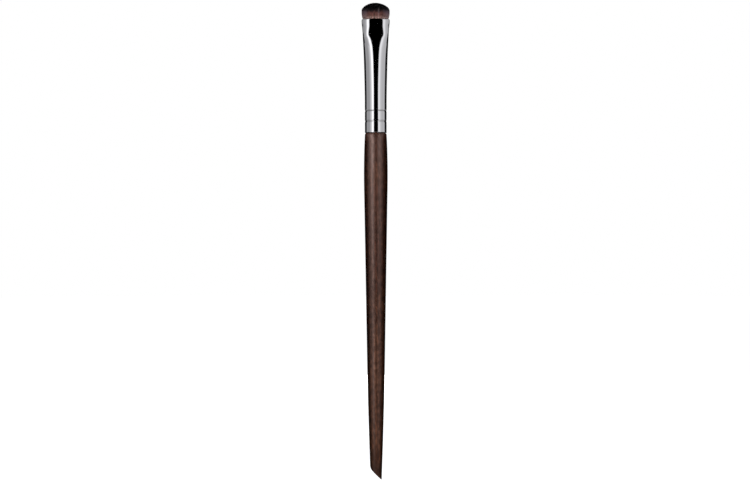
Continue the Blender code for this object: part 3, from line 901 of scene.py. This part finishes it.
# %% Wood finish
HEART_PLACE = (0.0110, 0.0035, 0.0)
GRAIN_TILT = (0.012, 0.020, 0.0)
GROWTH_LAYERS = {
    "Scale": 260.0, "Distortion": 2.2, "Detail": 2.0, "Detail Scale": 0.35, "Detail Roughness": 0.5
}
STAIN_HEIGHTS = (-0.035, -0.100)
DARK_STAINS = (0.013, 0.0044, 0.0026), (0.030, 0.0112, 0.0060)
LIGHT_STAINS = (0.094, 0.0272, 0.0138), (0.208, 0.0800, 0.0395)
PORE_COLOUR = (0.012, 0.005, 0.004)
END_GRAIN_HEIGHTS = (0.0085, 0.0045)
END_GRAIN_COLOUR = (0.020, 0.0095, 0.0070)
GLOSS_TINT = (1.0, 0.62, 0.50, 1.0)
GRAIN_DEPTH = 0.000006


def growth_layers(tree, place):
    """Rings about the tree's heart, which lies beside the stick and a little aslant to it."""
    tilted = node(tree, "Mapping", {"Vector": place, "Location": HEART_PLACE, "Rotation": GRAIN_TILT})
    inputs = {"Vector": tilted.outputs["Vector"], **GROWTH_LAYERS}
    return node(tree, "TexWave", inputs, wave_type="RINGS", rings_direction="Z").outputs["Fac"]


def wood_finish():
    material, tree, shader = new_finish(
        "lacquered_wood", Coat_Roughness=0.22, Coat_IOR=1.5, Specular_IOR_Level=1.0, Specular_Tint=GLOSS_TINT
    )
    place = coordinates(tree)
    height = split(tree, place)["Z"]
    grain = streaks(tree, place, across=2600.0, along=42.0, detail=3.0, low=0.30, high=0.72)
    pores = streaks(tree, place, across=9000.0, along=420.0, detail=1.0, low=0.60, high=0.72)
    figure = streaks(tree, place, across=1000.0, along=520.0, detail=2.0, low=0.41, high=0.60)
    smudge = smudges(tree, place, 160.0)
    patches = ranged(tree, noise(tree, place, 110.0, 2.0), 0.35, 0.65, -0.3, 0.35)
    warmth = plus(tree, ranged(tree, height, *STAIN_HEIGHTS, 0.15, 1.0), patches)
    streaked = plus(tree, times(tree, grain, 0.35), times(tree, figure, 0.65))
    layers = times(tree, ranged(tree, growth_layers(tree, place), 0.1, 0.9, 0.50, 1.0), streaked)
    stains = (colour_mix(tree, warmth, *pair) for pair in (DARK_STAINS, LIGHT_STAINS))
    wood = colour_mix(tree, layers, *stains)
    wood = colour_mix(tree, times(tree, pores, 0.7), wood, PORE_COLOUR)
    end_grain = ranged(tree, height, *(POINT + above for above in END_GRAIN_HEIGHTS), 0.0, 0.75)
    wood = colour_mix(tree, end_grain, wood, END_GRAIN_COLOUR)
    rough = plus(tree, between(tree, grain, 0.30, 0.40), times(tree, smudge, 0.06))
    coat = math_node(tree, "SUBTRACT", between(tree, figure, 0.50, 1.0), times(tree, smudge, 0.18))
    relief = math_node(tree, "SUBTRACT", times(tree, grain, 0.5), pores)
    relief = bump(tree, plus(tree, relief, times(tree, figure, 2.0)), GRAIN_DEPTH)
    feed(tree, shader, Base_Color=wood, Roughness=rough, Coat_Weight=coat, Normal=relief)
    return material


dress(handle, wood_finish())

# %% [markdown]
# ## Dyed hair
#
# The hair is black at the tips and turns brown and then pale towards the mouth. The palest band,
# just above the mouth, is partly the hair's lighter base and partly a painted highlight from the
# ferrule's lip. The colour follows the height above the mouth, which each fibre carries in its
# strand field, and every fibre and lock shifts it a little, so that the bands melt into each
# other in streaks. At the two sides the brown turns to a lighter greyish purple: painted light,
# standing in for light from behind that shines through the thin sides of the tuft, and their
# sheen. A few pale fibres and locks catch the eye, as in a real tuft, and each has its own
# lightness.

# %% Hair finish
# The palest stops, just above the mouth, are partly the hair's lighter base and partly a painted highlight
# from the ferrule's lip.
HAIR_STOPS = (
    (0.00, (0.540, 0.350, 0.310)),
    (0.10, (0.450, 0.265, 0.230)),
    (0.15, (0.260, 0.130, 0.108)),
    (0.20, (0.205, 0.091, 0.076)),
    (0.31, (0.245, 0.104, 0.090)),
    (0.39, (0.088, 0.037, 0.035)),
    (0.45, (0.026, 0.0120, 0.0130)),
    (0.52, (0.0066, 0.0037, 0.0047)),
    (0.64, (0.0018, 0.0014, 0.0021)),
    (1.00, (0.0012, 0.0012, 0.0014)),
)
# Painted light: the sides' lighter, greyish purple colours stand for light from behind shining through the
# thin sides, and their sheen.
SIDE_LIGHT_STOPS = (
    (0.00, (0.310, 0.220, 0.210)),
    (0.16, (0.215, 0.145, 0.145)),
    (0.31, (0.158, 0.108, 0.122)),
    (0.42, (0.122, 0.084, 0.100)),
    (0.49, (0.052, 0.035, 0.046)),
    (0.56, (0.0110, 0.0080, 0.0110)),
    (0.65, (0.0026, 0.0021, 0.0030)),
    (1.00, (0.0012, 0.0012, 0.0014)),
)
SIDE_LIGHT_START_SHARE = 0.46
SIDE_LIGHT_END_SHARE = 0.74
OWN_SHIFT = 0.055
LOCK_SHIFT = 0.065
PALE_COLOUR = (0.30, 0.235, 0.25)


def hair_finish():
    material, tree, shader = new_finish("dyed_hair", Specular_IOR_Level=0.35)
    own, height, lock = split(tree, mesh_field(tree, "strand"))
    shift = plus(
        tree, between(tree, own, -OWN_SHIFT, OWN_SHIFT), between(tree, lock, -LOCK_SHIFT, LOCK_SHIFT)
    )
    shift = times(tree, shift, ranged(tree, height, 0.05, 0.35, 0.3, 1.0))
    shifted = plus(tree, height, shift)
    # Painted light at the tuft's two sides, standing in for light from behind and sheen.
    side = math_node(tree, "ABSOLUTE", split(tree, coordinates(tree))["X"])
    edges = (BELLY_HALF_WIDTH * share for share in (SIDE_LIGHT_START_SHARE, SIDE_LIGHT_END_SHARE))
    thin = ranged(tree, side, *edges, 0.0, 0.9)
    colour = colour_mix(tree, thin, ramp(tree, shifted, HAIR_STOPS), ramp(tree, shifted, SIDE_LIGHT_STOPS))
    pale = math_node(
        tree, "MAXIMUM", ranged(tree, own, 0.975, 0.980), ranged(tree, lock, 0.93, 0.95, 0.0, 0.7)
    )
    pale = times(tree, pale, ranged(tree, height, 0.92, 0.62, 0.0, 0.38))
    colour = colour_mix(tree, pale, colour, PALE_COLOUR)
    shade = times(tree, between(tree, own, 0.55, 1.40), between(tree, lock, 0.64, 1.36))
    grey = node(tree, "CombineColor", {"Red": shade, "Green": shade, "Blue": shade}).outputs["Color"]
    colour = colour_mix(tree, 1.0, colour, grey, "MULTIPLY")
    feed(tree, shader, Base_Color=colour, Roughness=between(tree, own, 0.34, 0.52))
    return material


hair = hair_finish()
dress(hair_front, hair)
dress(hair_back, hair)

# %% [markdown]
# ## The hidden pieces
#
# The root is brown hair soaked in resin, so it is darker and glossier than loose hair. The
# thread is waxed, the plug behind the root is amber resin with a few bubbles, and the tenon's
# glue has dried white and slightly uneven.

# %% Root, thread, resin and glue finishes
ROOT_COLOURS = (0.06, 0.030, 0.015), (0.24, 0.15, 0.08)
THREAD_COLOURS = (0.50, 0.46, 0.37), (0.66, 0.62, 0.52)
# Painted shade: the groove between the two plies is coloured darker.
PLY_GAP_SHADE_COLOUR = (0.26, 0.22, 0.15)
BUBBLE_COLOUR = (0.85, 0.82, 0.74)
AMBER_COLOURS = (0.40, 0.24, 0.07), (0.58, 0.40, 0.16)
GLUE_COLOURS = (0.66, 0.63, 0.55), (0.80, 0.78, 0.71)
FIBRE_DEPTH = 0.00001
BUBBLE_DEPTH = 0.00004


def root_finish():
    material, tree, shader = new_finish("resin_soaked_root", Coat_Weight=0.5, Coat_Roughness=0.15)
    lines = streaks(tree, coordinates(tree), across=7000.0, along=200.0, detail=2.0, low=0.3, high=0.7)
    brown = colour_mix(tree, lines, *ROOT_COLOURS)
    rough = between(tree, lines, 0.30, 0.45)
    feed(tree, shader, Base_Color=brown, Roughness=rough, Normal=bump(tree, lines, FIBRE_DEPTH))
    return material


def thread_finish():
    material, tree, shader = new_finish("waxed_thread", Coat_Weight=0.25, Coat_Roughness=0.4)
    ply = split(tree, mesh_field(tree, "flow"))["X"]
    fuzz = noise(tree, coordinates(tree), 14000.0, 2.0)
    # Painted shade: darker colour where the plies meet, lighter on each ply.
    colour = colour_mix(tree, ply, PLY_GAP_SHADE_COLOUR, colour_mix(tree, fuzz, *THREAD_COLOURS))
    rough = ranged(tree, fuzz, 0.3, 0.7, 0.55, 0.8)
    feed(tree, shader, Base_Color=colour, Roughness=rough, Normal=bump(tree, fuzz, FIBRE_DEPTH))
    return material


def resin_finish(name, colours, low, high, coat, bubble_scale):
    """Set resin or glue: a cloudy colour from deep to pale, roughness from low to high with it,
    and small bubbles that dent it."""
    material, tree, shader = new_finish(name, Coat_Weight=coat, Coat_Roughness=0.1)
    place = coordinates(tree)
    cloud = noise(tree, place, 900.0, 4.0)
    cells = node(tree, "TexVoronoi", {"Vector": place, "Scale": bubble_scale}).outputs["Distance"]
    bubbles = ranged(tree, cells, 0.10, 0.22)
    colour = colour_mix(tree, ranged(tree, cloud, 0.35, 0.65), *colours)
    colour = colour_mix(tree, ranged(tree, bubbles, 1.0, 0.0, 0.0, 0.35), colour, BUBBLE_COLOUR)
    rough = ranged(tree, cloud, 0.3, 0.7, low, high)
    feed(tree, shader, Base_Color=colour, Roughness=rough, Normal=bump(tree, bubbles, BUBBLE_DEPTH))
    return material


dress(hair_root, root_finish())
dress(thread, thread_finish())
amber = resin_finish("amber_epoxy", AMBER_COLOURS, low=0.12, high=0.24, coat=0.8, bubble_scale=1500.0)
white = resin_finish("white_glue", GLUE_COLOURS, low=0.40, high=0.60, coat=0.2, bubble_scale=2200.0)
dress(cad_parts["epoxy_plug"], amber)
dress(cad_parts["handle_glue"], white)

# %% [markdown]
# ## The camera
#
# The photograph shows the brush upright and level, from a distance that keeps its outline
# almost parallel. Its length covers most of the picture's height, and that sets the size of one
# pixel at the brush, and so the distance for the chosen lens.

# %% Camera
IMAGE_WIDTH_PIXELS = 750
IMAGE_HEIGHT_PIXELS = 480
BRUSH_TOP_PIXEL = 2.75
BRUSH_PIXELS = 476.9
AXIS_PIXEL = 375.9
LEAN = math.radians(0.068)
LENS_MM = 72.0
SENSOR_MM = 36.0

pixel_size = (cad_box[1].z - cad_box[0].z) / BRUSH_PIXELS
camera_distance = pixel_size * IMAGE_WIDTH_PIXELS * LENS_MM / SENSOR_MM
camera_data = bpy.data.cameras.new("camera")
camera_data.lens = LENS_MM
camera_data.sensor_width = SENSOR_MM
camera = bpy.data.objects.new("camera", camera_data)
camera.location = (
    (IMAGE_WIDTH_PIXELS / 2 - AXIS_PIXEL) * pixel_size,
    -camera_distance,
    cad_box[1].z - (IMAGE_HEIGHT_PIXELS / 2 - BRUSH_TOP_PIXEL) * pixel_size,
)
camera.rotation_euler = (math.radians(90), LEAN, 0)
bpy.context.scene.collection.objects.link(camera)
bpy.context.scene.camera = camera
bpy.context.scene.view_settings.view_transform = "Standard"
print(f"camera {camera_distance:.3f} m away, {pixel_size * 1000:.3f} mm a pixel")

# %% [markdown]
# ## The stage
#
# A polished tube shows little of itself: it shows what stands round it. In the photograph the
# metal has a black stripe in front, where the room behind the camera is dark, a bright edge on
# either side of it from two tall soft boxes, then grey walls and a dark line at each side. All
# of that is one dome of plain light, seen only in reflections. Its tone follows the angle round
# the brush and the height, which is easier to tune than a dozen separate cards. A dim table
# keeps reflections that look down from turning black.

# %% Dome of light
DOME_RADIUS = 1.0
STAGE_COLUMNS = 96
DOME_ROWS = 42
LIGHT_TINT = (0.993, 0.99, 1.01)
TABLE_TONE = 0.60
TABLE_ANGLES = (90, 105)
TABLE_HEIGHTS = (-0.12, -0.18)
DOME_TONES = (
    (-180, 0.01), (-116, 0.01), (-110, 0.34), (-100, 0.39), (-84, 0.36), (-70, 0.38), (-58, 0.54),
    (-45, 0.80), (-40, 1.1), (-36, 1.4), (-24.0, 1.4), (-19.0, 0.0), (23.3, 0.0), (27.9, 1.0),
    (36, 1.0), (44, 0.84), (54, 0.63), (78, 0.53), (95, 0.57), (106, 0.50), (111, 0.01), (180, 0.01),
)
HEIGHT_SHARES = (
    (-1.0, 0.50), (-0.80, 1.12), (-0.50, 1.12), (-0.20, 1.0), (0.56, 1.0), (0.76, 0.12), (1.0, 0.10),
)


def number_ramp(tree, value, low, high, stops):
    """A ramp of plain numbers between (place, number) stops, with places from low to high."""
    places = [((place - low) / (high - low), (number,) * 3) for place, number in stops]
    return ramp(tree, ranged(tree, value, low, high), places)


def reflections_only(obj):
    """Hides the object from every kind of ray but those that leave a shiny surface."""
    for kind in ("camera", "diffuse", "transmission", "shadow", "volume_scatter"):
        setattr(obj, "visible_" + kind, False)


def reflected(made, tones, shares, table=0.0):
    """Makes a surface round the brush plain light, seen only in reflections and only from its
    inner side. `tones` go by the angle from the camera's direction, in degrees, positive to the
    camera's right, and `shares` by the height from the surface's foot to its top. `table` is the
    least tone at the sides and behind, below TABLE_HEIGHTS."""
    material = bpy.data.materials.new(made.name)
    material.use_nodes = True
    material.cycles.emission_sampling = "NONE"
    tree = material.node_tree
    tree.nodes.remove(tree.nodes["Principled BSDF"])
    right, back, height = split(tree, coordinates(tree))
    angle = math_node(tree, "DEGREES", math_node(tree, "ARCTAN2", right, times(tree, back, -1.0)))
    tone = number_ramp(tree, angle, -180, 180, tones)
    if table:
        beside = ranged(tree, math_node(tree, "ABSOLUTE", angle), *TABLE_ANGLES, 0.0, table)
        low = ranged(tree, height, *TABLE_HEIGHTS)
        tone = math_node(tree, "MAXIMUM", tone, times(tree, beside, low))
    tone = colour_mix(tree, 1.0, tone, LIGHT_TINT, "MULTIPLY")
    share = number_ramp(tree, height, shares[0][0], shares[-1][0], shares)
    share = times(tree, share, node(tree, "NewGeometry").outputs["Backfacing"])
    glow = node(tree, "Emission", {"Color": tone, "Strength": share})
    tree.links.new(glow.outputs[0], tree.nodes["Material Output"].inputs["Surface"])
    dress(made, material)
    reflections_only(made)
    made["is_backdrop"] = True


round_angle = np.linspace(0, math.tau, STAGE_COLUMNS, endpoint=False)
rise = np.linspace(-math.pi / 2, math.pi / 2, DOME_ROWS)[1:-1, None]
grid = rings(DOME_RADIUS * np.cos(rise), round_angle, DOME_RADIUS * np.sin(rise))
dome = skin("dome", grid, (0, 0, -DOME_RADIUS), (0, 0, DOME_RADIUS))
reflected(dome, DOME_TONES, HEIGHT_SHARES, table=TABLE_TONE)

# %% [markdown]
# The wood shows the same surroundings, but weaker towards its point and darker at its edges than
# the metal does. Photographers get that with cards close to the handle. Here a sleeve of light
# does it, with a collar at its top, which keeps the sleeve out of the metal's view.

# %% Sleeve and collar
SLEEVE_RADIUS = 0.030
COLLAR_RADIUS = 0.0060
COLLAR_HEIGHT = 0.0158
SLEEVE_TONES = (
    (-180, 0.0), (-94, 0.0), (-80, 0.16), (-66, 0.72), (-50, 0.88), (-44, 1.00), (-41, 2.8), (-23, 2.8),
    (-19, 0.80), (-9, 0.42), (-2, 0.0), (11, 0.0), (18, 0.84), (30, 1.18), (50, 0.92), (62, 0.36),
    (74, 0.08), (86, 0.0), (180, 0.0),
)
SLEEVE_SHARES = (
    (-0.140, 0.05), (-0.115, 0.18), (-0.104, 0.32), (-0.088, 0.38), (-0.050, 0.44), (-0.026, 0.55),
    (-0.002, 0.74), (0.006, 0.84), (0.0152, 0.98), (0.0156, 0.98),
)

z = np.array([SLEEVE_SHARES[0][0], SLEEVE_SHARES[-2][0], SLEEVE_SHARES[-1][0]])[:, None]
radius = np.array([SLEEVE_RADIUS, SLEEVE_RADIUS, COLLAR_RADIUS])[:, None]
reflected(skin("sleeve", rings(radius, round_angle, z)), SLEEVE_TONES, SLEEVE_SHARES)

grid = rings(np.array([COLLAR_RADIUS, SLEEVE_RADIUS])[:, None], round_angle, COLLAR_HEIGHT)
reflected(skin("collar", grid), DOME_TONES, ((0.0, 1.0), (COLLAR_HEIGHT, 1.0)))

# %% [markdown]
# Round the brush's head stands a tent, open in front and behind, because at the mouth the metal
# shows a narrower bright edge and no dark line. The foot of its two back pieces is dark, so that
# the line at each side of the tube thins out towards the mouth.

# %% Tent
SHEET_COLUMNS = 48
TENT_RADIUS = 0.030
TENT_FRONT = (31, 29)
TENT_SIDE = 96
TENT_BACK = 124
TENT_TOP = 0.0800
TENT_WING_SHARES = ((0.0562, 1.0), (TENT_TOP, 1.0))
TENT_BACK_SHARES = ((0.0532, 0.0), (0.0568, 0.0), (0.0600, 1.0), (TENT_TOP, 1.0))
TENT_TONES = (
    (-180, 0.40), (-112, 0.36), (-84, 0.35), (-70, 0.39), (-60, 0.41), (-53, 0.44), (-44, 0.66),
    (-37, 1.15), (-34, 1.4), (-29, 1.4), (31, 1.0), (38, 1.0), (45, 0.80), (55, 0.62), (78, 0.53),
    (95, 0.53), (106, 0.42), (180, 0.32),
)


def sheet(name, x, y, z):
    """An open sheet from a grid of points, whose coordinates are arrays that fit one another."""
    grid = np.stack(np.broadcast_arrays(x, y, z), axis=-1)
    index = np.arange(grid.size // 3).reshape(grid.shape[:2])
    corners = [index[:-1, :-1], index[:-1, 1:], index[1:, 1:], index[1:, :-1]]
    return mesh_from(name, grid.reshape(-1, 3), [np.stack(corners, axis=-1).reshape(-1, 4)])


def curved_sheet(name, distance, start, end, foot, top):
    """An upright sheet at this distance from the brush's axis, between two angles from the
    camera's direction."""
    angle = np.radians(np.linspace(start, end, SHEET_COLUMNS))
    return sheet(name, distance * np.sin(angle), -distance * np.cos(angle), np.array([[foot], [top]]))


for name, start, end, shares in (
    ("right_tent_wing", TENT_FRONT[0], TENT_SIDE, TENT_WING_SHARES),
    ("right_tent_back", TENT_SIDE, TENT_BACK, TENT_BACK_SHARES),
    ("left_tent_back", -TENT_BACK, -TENT_SIDE, TENT_BACK_SHARES),
    ("left_tent_wing", -TENT_SIDE, -TENT_FRONT[1], TENT_WING_SHARES),
):
    made = curved_sheet(name, TENT_RADIUS, start, end, shares[0][0], shares[-1][0])
    reflected(made, TENT_TONES, shares)

# %% [markdown]
# For the soft light there are two black flags beside the handle, and two narrow cards in front of
# its edges, so that both go dark.

# %% Flags and near cards
FLAG_DISTANCE = 0.050
FLAG_FOOT = -0.15
FLAG_TOP = FERRULE_FOOT + 0.002
CARD_AHEAD = 2.6
CARD_REACH = 2.0
CARD_FOOT = POINT + 0.003
CARD_TOP = FERRULE_FOOT - 0.0005
CARD_ROWS = 60
BLACK = (0.0, 0.0, 0.0, 1.0)


def black_card(made):
    """Makes a sheet black, and hides it from all but scattered light."""
    dress(made, new_finish(made.name, Base_Color=BLACK, Roughness=1.0, Specular_IOR_Level=0.0)[0])
    reflections_only(made)
    made.visible_glossy = False
    made.visible_diffuse = True
    made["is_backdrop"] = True


def near_card(name, side, near):
    """A black card in front of the handle's edge, so that lamplight falls off towards it. It
    follows the taper: it stands CARD_AHEAD radii ahead and starts `near` radii to the side."""
    z = np.linspace(CARD_FOOT, CARD_TOP, CARD_ROWS)[:, None]
    radius = handle_radius(FERRULE_FOOT - z)
    made = sheet(name, side * radius * np.array([near, near + CARD_REACH]), -CARD_AHEAD * radius, z)
    black_card(made)
    made.visible_shadow = True


for name, start, end in (("left_flag", -130, -50), ("right_flag", 42, 130)):
    black_card(curved_sheet(name, FLAG_DISTANCE, start, end, FLAG_FOOT, FLAG_TOP))
near_card("left_card", -1, 0.88)
near_card("right_card", 1, 0.80)

# %% [markdown]
# Far below the brush lies a pale floor, which fades into the white behind it. Four lamps light
# what is matt: a pair in front, one behind and one above. The metal can't show them, because they
# are hidden from reflections, so the dome and the lamps can be set apart from each other.

# %% Floor
FLOOR_DROP = 0.040
FLOOR_RADIUS = 3.0
FLOOR_COLOUR = (0.62, 0.62, 0.62, 1.0)
GLOW_START = 0.2
FLOOR_GLOW_NEAR = 0.81
FLOOR_GLOW_FAR = 0.995


def only_camera_sees(tree):
    """1 for rays that show the background: from the camera, or by way of metal or glass."""
    path = node(tree, "LightPath")
    seen = math_node(tree, "MAXIMUM", path.outputs["Is Camera Ray"], path.outputs["Is Glossy Ray"])
    return math_node(tree, "MAXIMUM", seen, path.outputs["Is Transmission Ray"])


def make_floor():
    """A pale round floor under the brush. The part that the camera sees as light is added to the
    part that lamps light, so that it looks near white and still takes the brush's shadow. The
    added part grows outwards, as the lamps' part falls."""
    rim = rings(FLOOR_RADIUS, round_angle, POINT - FLOOR_DROP)
    made = mesh_from("floor", rim, [np.arange(STAGE_COLUMNS)[None]])
    material, tree, shader = new_finish(
        "floor", Base_Color=FLOOR_COLOUR, Roughness=0.9, Specular_IOR_Level=0.0
    )
    away = node(tree, "VectorMath", {0: coordinates(tree)}, operation="LENGTH").outputs["Value"]
    glow = ranged(tree, away, GLOW_START, FLOOR_RADIUS, FLOOR_GLOW_NEAR, FLOOR_GLOW_FAR)
    glow = node(tree, "Emission", {"Strength": times(tree, only_camera_sees(tree), glow)})
    both = node(tree, "AddShader", {0: shader.outputs[0], 1: glow.outputs[0]})
    tree.links.new(both.outputs[0], tree.nodes["Material Output"].inputs["Surface"])
    material.cycles.emission_sampling = "NONE"
    dress(made, material)
    made.visible_glossy = False
    made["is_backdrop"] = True


make_floor()

# %% Lamps and world
LAMP_DISTANCE = 0.9
LAMP_WIDTH = 0.33
LAMP_HEIGHT = 1.04
LAMPS = (("left_lamp", -16.0, 5.2), ("right_lamp", 9.0, 3.6), ("back_lamp", 180.0, 4.0))
TOP_LAMP_PLACE = (0.0, 0.25, 1.3)
TOP_LAMP_WIDTH = 1.2
TOP_LAMP_RADIANCE = 1.2
FILL = 0.10
WHITE = (1.0, 1.0, 1.0, 1.0)


def lamp(name, place, width, height, radiance):
    """A rectangular soft lamp at a place, turned to the brush. Its power is its radiance times pi
    times its area. Reflections show the dome and not the lamps."""
    data = bpy.data.lights.new(name, "AREA")
    data.shape = "RECTANGLE"
    data.size = width
    data.size_y = height
    data.energy = radiance * math.pi * width * height
    made = bpy.data.objects.new(name, data)
    made.location = place
    made.rotation_euler = (-Vector(place)).to_track_quat("-Z", "Y").to_euler()
    made.visible_camera = False
    made.visible_glossy = False
    bpy.context.scene.collection.objects.link(made)


for name, angle, radiance in LAMPS:
    side, ahead = math.sin(math.radians(angle)), math.cos(math.radians(angle))
    lamp(name, (LAMP_DISTANCE * side, -LAMP_DISTANCE * ahead, 0.0), LAMP_WIDTH, LAMP_HEIGHT, radiance)
lamp("top_lamp", TOP_LAMP_PLACE, TOP_LAMP_WIDTH, TOP_LAMP_WIDTH, TOP_LAMP_RADIANCE)

world = bpy.data.worlds.new("studio")
bpy.context.scene.world = world
world.use_nodes = True
world.cycles.sampling_method = "NONE"
tree = world.node_tree
fill_sky, white_sky = (
    node(tree, "Background", {"Color": WHITE, "Strength": strength}).outputs[0] for strength in (FILL, 1.0)
)
sky = node(tree, "MixShader", {0: only_camera_sees(tree), 1: fill_sky, 2: white_sky})
tree.links.new(sky.outputs[0], tree.nodes["World Output"].inputs["Surface"])

# %% [markdown]
# ## Tie the pieces to the model
#
# Each new piece rides on the model's one body and stands for the node that it was made from.
# The two halves of the hair and the root together stand for the tuft.

# %% Bodies, nodes and slots
for piece, replaced, slot in (
    (ferrule, "ferrule", "polished_metal"),
    (handle, "handle", "lacquered_wood"),
    (hair_front, "bristle_tuft", "dyed_hair"),
    (hair_back, "bristle_tuft", "dyed_hair"),
    (hair_root, "bristle_tuft", "dyed_hair"),
    (thread, "binding_thread", "waxed_thread"),
):
    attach(piece, "root")
    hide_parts(replaced)

# %% Print the model's box and the new one
visual_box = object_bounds()
sizes = {
    "cad_low": list(cad_box[0]),
    "cad_high": list(cad_box[1]),
    "visual_low": list(visual_box[0]),
    "visual_high": list(visual_box[1]),
}
for name, corner in sizes.items():
    print(name, [round(value * 1000, 2) for value in corner], "mm")
